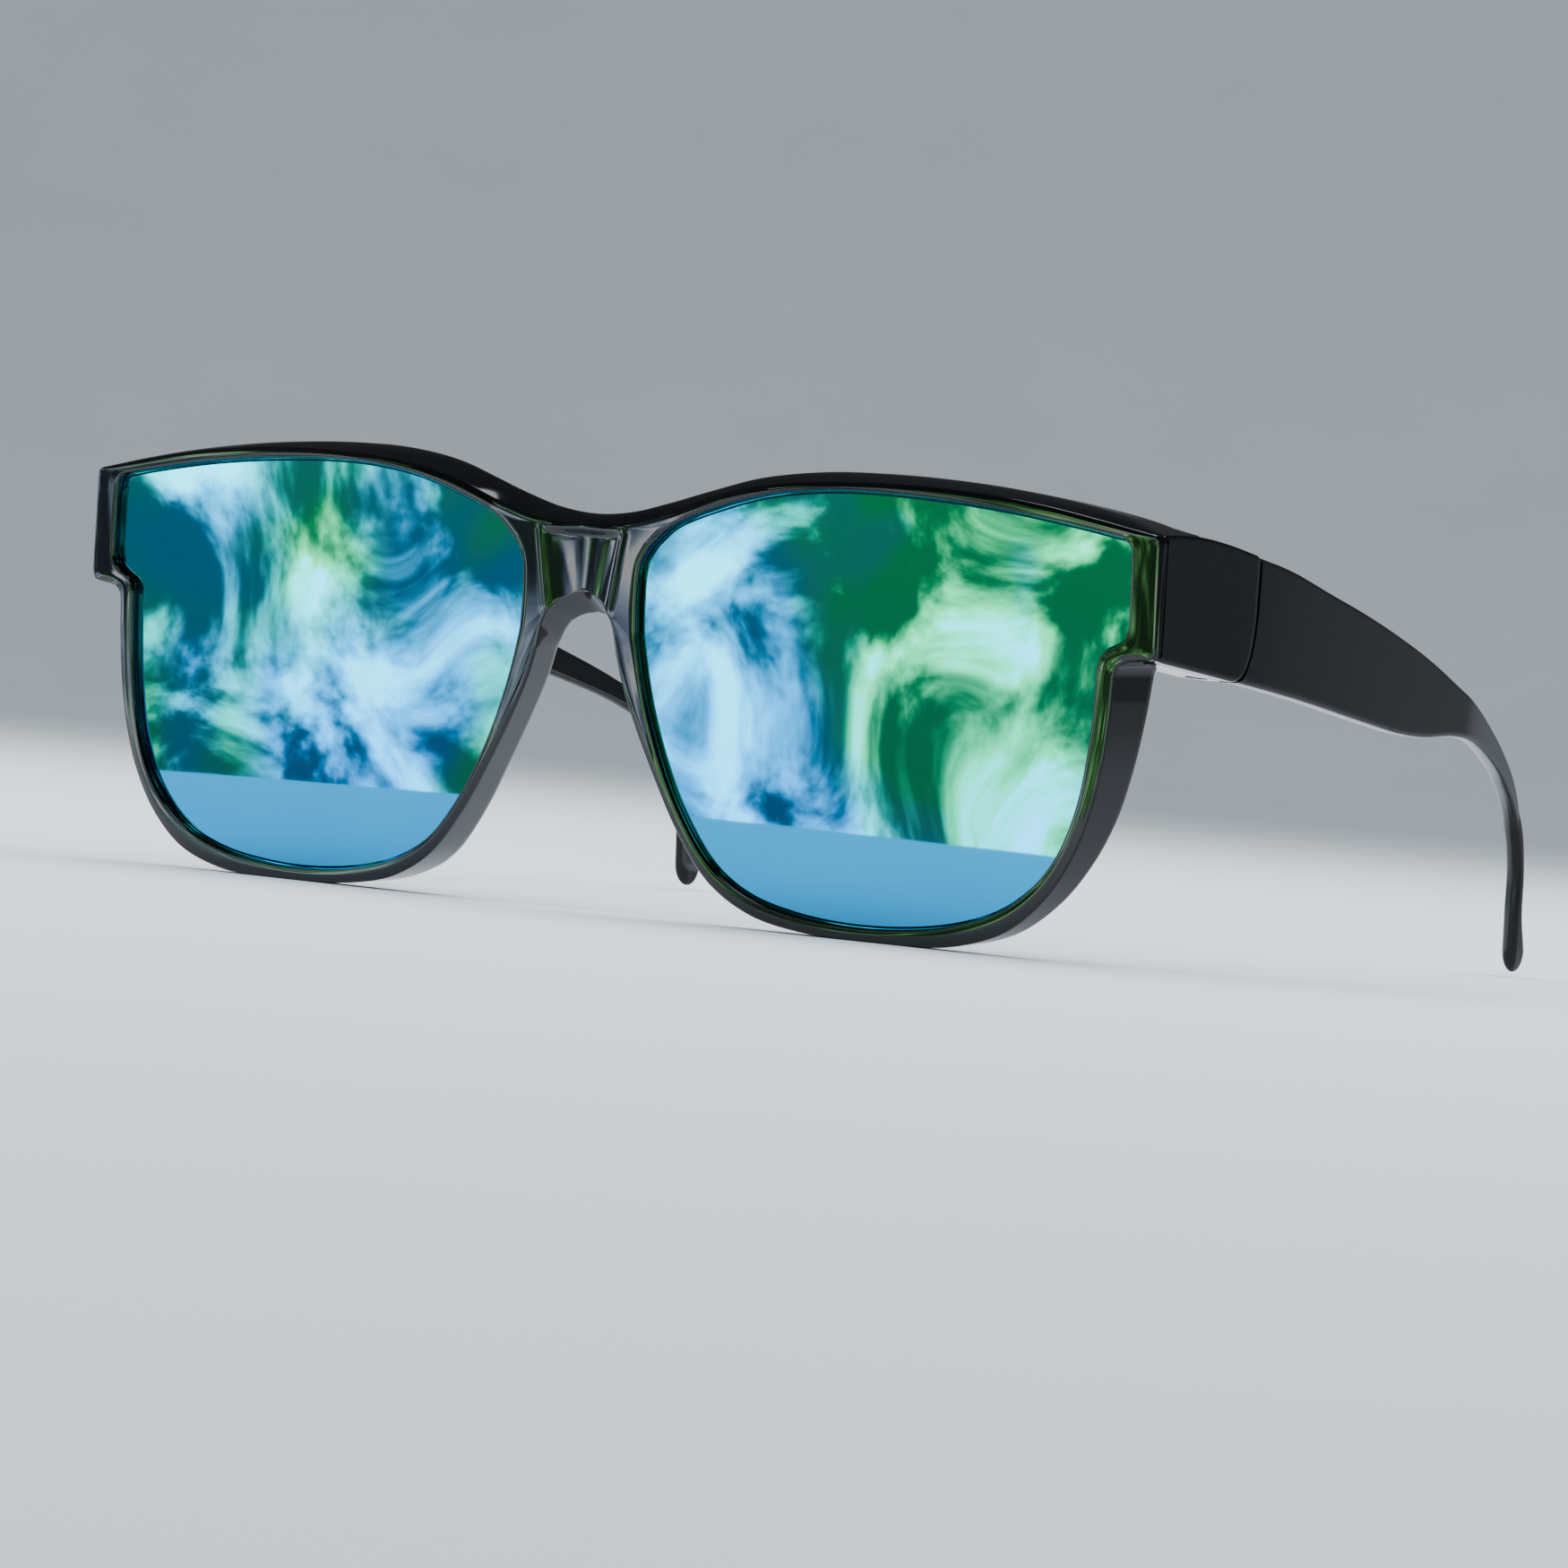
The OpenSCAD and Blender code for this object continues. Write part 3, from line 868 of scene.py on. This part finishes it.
@dataclass
class Temple:
    """One temple: hinge barrel, broad plate and ear hook in one moulding."""

    side: Side
    out: float = 3.7
    thick: float = 2.8
    tip_thick: float = 2.0
    tip: tuple = (0.0, 0.35, -2.75)  # how far the rounded end runs on past the last section
    barrel: tuple = (2.42, 11.58)
    stations: int = 190  # sections along the temple
    crest: tuple = (
        (4.85, 14.1), (12.65, 13.72), (22.3, 12.62), (32.3, 11.52), (41.6, 10.22), (51.5, 8.52), (60.5, 6.52),
        (71.4, 4.18), (82.0, 1.28), (90.6, -2.05), (96.0, -6.4), (98.4, -12.0), (99.5, -17.4), (101.3, -21.2))
    base: tuple = (
        (3.2, 0.05), (12.0, 0.02), (21.0, -0.1), (30.0, -0.35), (38.0, -0.55), (44.4, -0.63), (51.3, -0.28),
        (60.0, 0.84), (66.1, 0.84), (74.6, -0.15), (84.6, -2.3), (92.8, -6.0), (95.9, -11.2), (96.8, -16.8),
        (97.5, -21.3))
    split: tuple = ((3.2, 0.05), (3.75, 0.4), (4.45, 1.3), (5.22, 3.2), (5.56, 6.6), (5.3, 10.5), (4.95, 13.9))

    def bow(self, back: np.ndarray) -> np.ndarray:
        """Distance of the outer face from the hinge axis at a distance back."""
        gentle = 4.5 * (np.clip(back - 8, 0, None) / 85) ** 1.35
        share = np.clip(np.minimum(back, 94) - 61.5, 0, None) / 30
        return self.out - gentle - 6.16 * share**2 / (share + 0.12)

    def thickness(self, back: np.ndarray) -> np.ndarray:
        """Thickness of the plate at a distance back."""
        return self.thick + (self.tip_thick - self.thick) * np.clip((back - 8) / 70, 0, 1)

    def section(self, length: float, thick: float, radius: float) -> np.ndarray:
        """A rounded bar seen end on, as (distance up from the base, distance in from the outer face) points.

        Args:
            length: height of the bar.
            thick: its thickness.
            radius: rounding of its four corners.

        Returns:
            A closed loop with the same number of points for every size.
        """
        r = min(radius, thick / 2 - 0.02, length / 2 - 0.02)
        quarters = ((length - r, r, 180, None), (length - r, thick - r, 90, r), (r, thick - r, 0, None),
                      (r, r, -90, length - r))
        out = []
        for up, inward, first, goal in quarters:
            turn = np.radians(np.linspace(first, first - 90, 6))
            out += [(up + r * math.sin(t), inward + r * math.cos(t)) for t in turn]
            if goal is not None:
                up, inward = out[-1]
                out += [(up + (goal - up) * s, inward) for s in (0.06, 0.2, 0.4, 0.6, 0.8, 0.94)]
        return np.array(out)

    def build(self) -> Object:
        """Builds the whole temple.

        Returns:
            The temple.
        """
        u = np.linspace(0, 1, self.stations) ** 0.96
        top = along(smooth(self.crest), self.matched(u, self.crest, (4, 5, 7, 8, 9, 10, 11, 12, 13)))
        low = along(smooth(self.base), self.matched(u, self.base, (4, 6, 8, 9, 10, 11, 12, 13, 14)))
        split = smooth(self.split)
        foot, head = np.array(self.base[0]), np.array(self.crest[0])
        rows = []
        for crest, base in zip(top, low):
            length = float(np.linalg.norm(crest - base))
            mid_back = (crest[0] + base[0]) / 2
            radius = 0.55 + 0.45 * float(np.clip((mid_back - 45) / 25, 0, 1))
            flat = self.section(length, float(self.thickness(mid_back)), radius)
            share = flat[:, 0] / length
            # Near the front the section bends to the curved split line, further back it is straight
            fade = float(np.clip(1.44 - crest[0] / 11, 0, 1)) ** 1.5
            curve = np.interp(share * head[1], split[:, 1], split[:, 0])
            p = lerp(base, crest, share[:, None])
            p[:, 0] += (curve - lerp(foot[0], head[0], share)) * fade
            rows.append(np.stack([self.bow(p[:, 0]) - flat[:, 1], p[:, 0], p[:, 1]], -1))
        end = rows[-1]
        centre = end.mean(0)
        for t in np.radians((14, 28, 42, 54, 65, 75, 84)):
            rows.append(lerp(centre, end, math.cos(t)) + np.array(self.tip) * math.sin(t))
        kit = MeshKit()
        kit.skin([STANCE.from_hinge(*r.T) for r in rows], ends=True)
        self.add_barrel(kit)
        obj = kit.build(f"temple_arm_{self.side.word}", self.side, 35.0)
        dress(obj, TEMPLE_NYLON)
        return obj

    def matched(self, u: np.ndarray, points: tuple, keys: tuple) -> np.ndarray:
        """Length fractions that bring the chosen points of an edge level with those of the other edge.

        Args:
            u: even fractions.
            points: the edge's points.
            keys: indices of the points to bring level.

        Returns:
            Fractions of the edge's own length.
        """
        line = smooth(points)
        run = np.concatenate([[0], np.cumsum(np.linalg.norm(np.diff(line, axis=0), axis=1))])
        own = [0.0] + [run[SPAN_STEPS * k] / run[-1] for k in keys]
        shared = [0.0, 0.30, 0.38, 0.53, 0.61, 0.69, 0.76, 0.83, 0.91, 1.0]
        return np.interp(u, shared, own)

    def add_barrel(self, kit: MeshKit) -> None:
        """Adds the hinge barrel and the tongue that joins it to the plate."""
        turn = np.radians(np.linspace(0, -360, 40, endpoint=False))
        low, high = self.barrel
        bore, worn, full, bevel = 0.75, 1.85, 2.03, 0.18
        kit.skin([STANCE.from_hinge(np.cos(turn) * radius, np.sin(turn) * radius, height)
                  for radius, height in ((bore, low), (worn, low), (full, low + bevel), (full, high - bevel),
                                         (worn, high), (bore, high), (bore, low))])
        tongue = np.array([[0.1, 1.3], [0.1, 7.3], [1.9, 7.3], [1.9, 1.3]])

        prism(kit, tongue, [(low + 0.05, 0.15), (low + 0.2, 0.0), (high - 0.2, 0.0), (high - 0.05, 0.15)], level)


@dataclass
class RimBead:
    """The fine polished bead that runs round a lens opening, swept along it by Geometry Nodes."""

    side: Side
    radius: float = 0.12
    depth: float = 0.2
    offset: float = 0.24
    facets: int = 8

    def tree(self) -> tuple:
        """Builds the node tree, with the bead's radius and sides as named inputs.

        Returns:
            The tree, and the identifiers of the radius and of the sides.
        """
        made = bpy.data.node_groups.new(f"bead_sweep_{self.side.word}", "GeometryNodeTree")
        face = made.interface
        face.new_socket("Geometry", in_out="INPUT", socket_type="NodeSocketGeometry")
        radius = face.new_socket("Bead Radius", in_out="INPUT", socket_type="NodeSocketFloat")
        sides = face.new_socket("Bead Sides", in_out="INPUT", socket_type="NodeSocketInt")
        face.new_socket("Geometry", in_out="OUTPUT", socket_type="NodeSocketGeometry")
        given = node(made, "NodeGroupInput")
        path = node(made, "GeometryNodeMeshToCurve", i0=given.outputs["Geometry"])
        ring = node(made, "GeometryNodeCurvePrimitiveCircle", Resolution=given.outputs["Bead Sides"],
                    Radius=given.outputs["Bead Radius"])
        sweep = node(made, "GeometryNodeCurveToMesh", Curve=path, Profile_Curve=ring)
        shade = node(made, "GeometryNodeSetShadeSmooth", Geometry=sweep)
        real = node(made, "GeometryNodeRealizeInstances", Geometry=shade)
        coat = node(made, "GeometryNodeSetMaterial", Geometry=real, Material=FRONT_NYLON.material())
        node(made, "NodeGroupOutput", i0=coat)
        return made, radius.identifier, sides.identifier

    def build(self, shell: FrontShell) -> Object:
        """Builds the bead round one opening.

        Args:
            shell: the front with the opening.

        Returns:
            The bead as a plain mesh.
        """
        loops = shell.loops()
        loop = loops["lens"] + loops["outward"] * self.offset
        path = stand(loop, STANCE.wrapped(loop[:, 0]) + self.depth)
        row = STANCE.to_row(path) * [self.side.value, 1, 1]
        n = len(row)
        mesh = bpy.data.meshes.new("bead_path")
        mesh.from_pydata(row.tolist(), [(i, (i + 1) % n) for i in range(n)], [])
        guide = put("bead_path", mesh)
        mod = guide.modifiers.new("sweep", "NODES")
        mod.node_group, radius, sides = self.tree()
        mod[radius] = self.radius * MM
        mod[sides] = self.facets
        graph = bpy.context.evaluated_depsgraph_get()
        made = bpy.data.meshes.new_from_object(guide.evaluated_get(graph), depsgraph=graph)
        guide.modifiers.clear()
        bpy.data.objects.remove(guide)
        bm = bmesh.new()
        bm.from_mesh(made)
        bmesh.ops.recalc_face_normals(bm, faces=bm.faces)
        bm.to_mesh(made)
        bm.free()
        obj = put(f"rim_bead_{self.side.word}", made)
        dress(obj, FRONT_NYLON)
        return obj


# --- assemblies -------------------------------------------------------------


@dataclass
class Front:
    """Everything that rides on the front body."""

    body: str = "front"

    def build(self) -> list:
        """Builds the front shell, endpieces, beads and lenses.

        Returns:
            The new pieces.
        """
        shell = FrontShell()
        made = [shell.build()]
        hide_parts("front_frame")
        for side in Side:
            made.append(Endpiece(side).build())
            made.append(RimBead(side).build(shell))
            lens = MirrorLens(side).build(shell)
            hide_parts(f"lens_{side.word}")
            made.append(lens)
        for obj in made:
            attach(obj, self.body)
        return made

    def dress_hardware(self, nodes: dict) -> None:
        """Gives the CAD screws, inserts and washers their finishes.

        Args:
            nodes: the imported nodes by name.
        """
        for side in Side:
            dress(nodes[f"hinge_screw_{side.word}"], TURNED_STEEL)
            dress(nodes[f"insert_{side.word}"], TURNED_BRASS)
            dress(nodes[f"washer_lower_{side.word}"], WASHER_NYLON)
            dress(nodes[f"washer_upper_{side.word}"], WASHER_NYLON)


@dataclass
class Temples:
    """Both temples, each on its own body."""

    def build(self) -> list:
        """Builds the temples and has each ride on its body."""
        made = []
        for side in Side:
            obj = Temple(side).build()
            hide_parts(f"temple_{side.word}")
            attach(obj, f"temple_{side.word}")
            made.append(obj)
        return made


# --- studio -----------------------------------------------------------------


@dataclass
class Studio:
    """Pale floor, soft lights, the card that the mirrors look at, and the camera."""

    eye: tuple = (411.228, -573.716, 30.772)
    right: tuple = (0.82940, 0.55596, 0.05485)
    up: tuple = (-0.07744, 0.01717, 0.99685)
    back: tuple = (0.55327, -0.83103, 0.05730)
    focal: float = 144.0
    floor: str = "#ccd3d9"
    floor_pale: str = "#d3d9de"
    sky: str = "#d3d9dd"
    card_reach: tuple = (0.19, 0.085)
    card_middle: tuple = (-0.03, -0.05)
    card_arc: tuple = (-158, -22)
    card_rise: tuple = (0.0005, 0.075)
    surround: float = 0.6

    def build(self) -> None:
        """Builds everything round the object."""
        self.add_floor()
        self.add_card()
        self.add_flags()
        self.add_world()
        self.add_lights()
        self.add_camera()

    def add_camera(self) -> None:
        """Adds the camera, level with the rims and a little to the wearer's left."""
        data = bpy.data.cameras.new("camera")
        data.lens, data.sensor_width, data.clip_start, data.clip_end = self.focal, 36.0, 0.01, 100.0
        cam = put("camera", data)
        turn = Matrix([STANCE.turn(v) for v in (self.right, self.up, self.back)]).transposed()
        place = Vector(STANCE.to_row(np.array(self.eye)))
        cam.matrix_world = Matrix.Translation(place) @ turn.to_4x4()
        bpy.context.scene.camera = cam

    def add_floor(self) -> None:
        """Adds a wide pale floor that rises into a far backdrop on every side, with a faint plaster mottle."""
        n = 96
        turn = np.linspace(0, 2 * math.pi, n, endpoint=False)
        rise = np.radians(np.linspace(0, 62, 13))
        rings = [(r, 0.0) for r in (0.25, 0.8, 1.6)]
        rings += [(2.2 + 1.6 * math.sin(a), 1.6 * (1 - math.cos(a))) for a in rise]
        points = [(r * math.cos(t), r * math.sin(t), z) for r, z in rings for t in turn]
        faces = [tuple(range(n))]
        for k in range(0, (len(rings) - 1) * n, n):
            faces += [(k + i, k + n + i, k + n + (i + 1) % n, k + (i + 1) % n) for i in range(n)]
        mesh = bpy.data.meshes.new("floor")
        mesh.from_pydata(points, [], faces)
        mesh.shade_smooth()
        obj = put("floor", mesh)
        mat = bpy.data.materials.new("pale plaster floor")
        tree = blank(mat)
        where = node(tree, "ShaderNodeTexCoord").outputs["Object"]
        mottle = node(tree, "ShaderNodeTexNoise", Vector=where, Scale=9.0, Detail=4.0)
        tone = node(tree, "ShaderNodeMix", {"data_type": "RGBA"}, Factor=mottle,
                    A=linear(self.floor), B=linear(self.floor_pale))
        shader = node(tree, "ShaderNodeBsdfPrincipled", Base_Color=tone, Roughness=0.9, Specular_IOR_Level=0.0)
        node(tree, "ShaderNodeOutputMaterial", Surface=shader)
        mesh.materials.append(mat)

    def add_card(self) -> None:
        """Adds the card in front of the lenses: soft greens and whites that only reflections see."""
        n = 40
        turn = np.radians(np.linspace(*self.card_arc, n))
        (a, b), (x, y) = self.card_reach, self.card_middle
        points = [(a * math.cos(t) + x, b * math.sin(t) + y, z) for z in self.card_rise for t in turn]
        faces = [(i, i + 1, n + i + 1, n + i) for i in range(n - 1)]
        tree, shader = self.reflected("reflection_card", points, faces, "leafy reflection card")
        where = node(tree, "ShaderNodeTexCoord").outputs["Object"]
        shape = node(tree, "ShaderNodeTexNoise", Vector=where, Scale=38.0, Detail=7.0, Roughness=0.58, Distortion=0.7)
        kind = node(tree, "ShaderNodeTexNoise", Vector=where, Scale=17.0, Detail=3.0)
        parts = node(tree, "ShaderNodeSeparateXYZ", Vector=where)
        climb = node(tree, "ShaderNodeMapRange", Value=parts.outputs["Z"], From_Min=0.0, From_Max=0.06, To_Min=0.04,
                     To_Max=-0.035)
        level = node(tree, "ShaderNodeMath", {"operation": "ADD"}, i0=shape, i1=climb)
        leaf = node(tree, "ShaderNodeMapRange", Value=kind, From_Min=0.44, From_Max=0.52)
        tone = node(tree, "ShaderNodeMix", {"data_type": "RGBA"}, Factor=leaf,
                    A=(0.44, 0.6, 0.85, 1), B=(0.3, 1.0, 0.28, 1))
        bright = node(tree, "ShaderNodeMapRange", Value=level, From_Min=0.56, From_Max=0.64)
        final = node(tree, "ShaderNodeMix", {"data_type": "RGBA"}, Factor=bright, A=tone, B=(1, 1, 1, 1))
        power = node(tree, "ShaderNodeMapRange", {"interpolation_type": "SMOOTHERSTEP"}, Value=level,
                     From_Min=0.43, From_Max=0.64, To_Min=0.4, To_Max=7.5)
        tree.links.new(final.outputs["Result"], shader.inputs["Color"])
        tree.links.new(power.outputs["Result"], shader.inputs["Strength"])

    def reflected(self, name: str, points: list, faces: list, finish: str) -> tuple:
        """Makes a stage surface that only reflections see.

        Args:
            name: name of the object.
            points: its points.
            faces: its faces.
            finish: name of its material.

        Returns:
            The material's tree and its emission node.
        """
        mesh = bpy.data.meshes.new(name)
        mesh.from_pydata(points, [], faces)
        obj = put(name, mesh)
        obj.visible_camera = obj.visible_diffuse = obj.visible_shadow = obj.visible_transmission = False
        mat = bpy.data.materials.new(finish)
        tree = blank(mat)
        glow = node(tree, "ShaderNodeEmission")
        node(tree, "ShaderNodeOutputMaterial", Surface=glow)
        mesh.materials.append(mat)
        return tree, glow

    def add_flags(self) -> None:
        """Adds a dim glowing surround, seen only in reflections, that keeps the black frame black, open to the
        overhead panel, and two glowing floor sheets beside it.
        """
        n = 72
        turn = np.linspace(0, 2 * math.pi, n, endpoint=False)
        rise = np.radians([0.1, 4, 8, 14, 22, 32, 44, 58, 74])
        r = self.surround
        points = [(r * math.cos(t) * math.cos(a), r * math.sin(t) * math.cos(a), r * math.sin(a))
                  for a in rise for t in turn]
        faces = [(k + i, k + (i + 1) % n, k + n + (i + 1) % n, k + n + i)
                 for k in range(0, (len(rise) - 1) * n, n) for i in range(n)]
        tree, shader = self.reflected("dark_surround", points, faces, "dim glowing reflection surround")
        where = node(tree, "ShaderNodeTexCoord").outputs["Object"]
        parts = node(tree, "ShaderNodeSeparateXYZ", Vector=where)
        # Painted light: the surround glows brightest near the floor, fades upwards, glows brighter towards the rear
        # and carries soft painted patches
        fall = node(tree, "ShaderNodeMapRange", {"interpolation_type": "SMOOTHSTEP"}, Value=parts.outputs["Z"],
                    From_Min=0.03, From_Max=0.2, To_Min=0.8, To_Max=0.14)
        glow_patches = node(tree, "ShaderNodeTexNoise", Vector=where, Scale=3.5, Detail=2.0)
        rear = node(tree, "ShaderNodeMapRange", Value=parts.outputs["Y"], From_Min=0.42, From_Max=0.6, To_Min=1.0,
                    To_Max=2.2)
        cast = node(tree, "ShaderNodeMath", {"operation": "MULTIPLY"}, i0=fall, i1=rear)
        power = node(tree, "ShaderNodeMath", {"operation": "MULTIPLY"}, i0=glow_patches, i1=cast)
        shader.inputs["Color"].default_value = linear("#b4bcc4")
        tree.links.new(power.outputs["Value"], shader.inputs["Strength"])
        # Painted reflection: a glowing grey sheet beside the frame on each side, seen only in reflections, stands in
        # for the floor and dims away from the frame
        for side in Side:
            points = [(side.value * x, y, 0.0006) for x, y in ((0.052, -0.055), (r, -0.055), (r, r), (0.052, r))]
            tree, shader = self.reflected(f"floor_glow_sheet_{side.word}", points, [(0, 1, 2, 3)],
                                          f"grey reflection glow {side.word}")
            where = node(tree, "ShaderNodeTexCoord").outputs["Object"]
            reach = node(tree, "ShaderNodeVectorMath", {"operation": "LENGTH"}, i0=where)
            shade = node(tree, "ShaderNodeMapRange", Value=reach, From_Min=0.09, From_Max=0.3, To_Min=1.0, To_Max=0.6)
            shader.inputs["Color"].default_value = linear("#c2cbd6")
            tree.links.new(shade.outputs["Result"], shader.inputs["Strength"])

    def add_world(self) -> None:
        """Adds an even pale surround."""
        world = bpy.data.worlds.new("surround")
        bpy.context.scene.world = world
        tree = blank(world)
        sky = node(tree, "ShaderNodeBackground", Color=linear(self.sky), Strength=0.9)
        node(tree, "ShaderNodeOutputWorld", Surface=sky)

    def add_lights(self) -> None:
        """Adds three large soft panels."""
        for name, place, size, watts, tone in (
            ("overhead", (-0.1, 0.15, 0.9), (1.2, 1.0), 21.0, "#f4f8ff"),
            ("left", (-0.9, -0.4, 0.5), (0.8, 0.7), 9.0, "#ffffff"),
            ("right_rear", (0.8, 0.7, 0.55), (0.8, 0.6), 3.5, "#eef4ff"),
        ):
            data = bpy.data.lights.new(name, "AREA")
            data.shape, data.size, data.size_y = "RECTANGLE", size[0], size[1]
            data.energy, data.color = watts, linear(tone)[:3]
            lamp = put(name, data)
            lamp.location = place
            lamp.rotation_euler = (Vector((0, 0, 0.02)) - Vector(place)).to_track_quat("-Z", "Y").to_euler()
            lamp.visible_camera = False


# --- main -------------------------------------------------------------------


def main() -> None:
    """Builds the pieces in order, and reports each."""
    logging.basicConfig(level=logging.INFO, format="%(message)s")
    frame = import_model()
    front = Front()
    made = front.build()
    front.dress_hardware(frame["nodes"])
    made += Temples().build()
    for obj in made:
        obj.data.calc_loop_triangles()
        LOG.info("%s: %d triangles", obj.name, len(obj.data.loop_triangles))
    Studio().build()


if __name__ == "__main__":
    main()
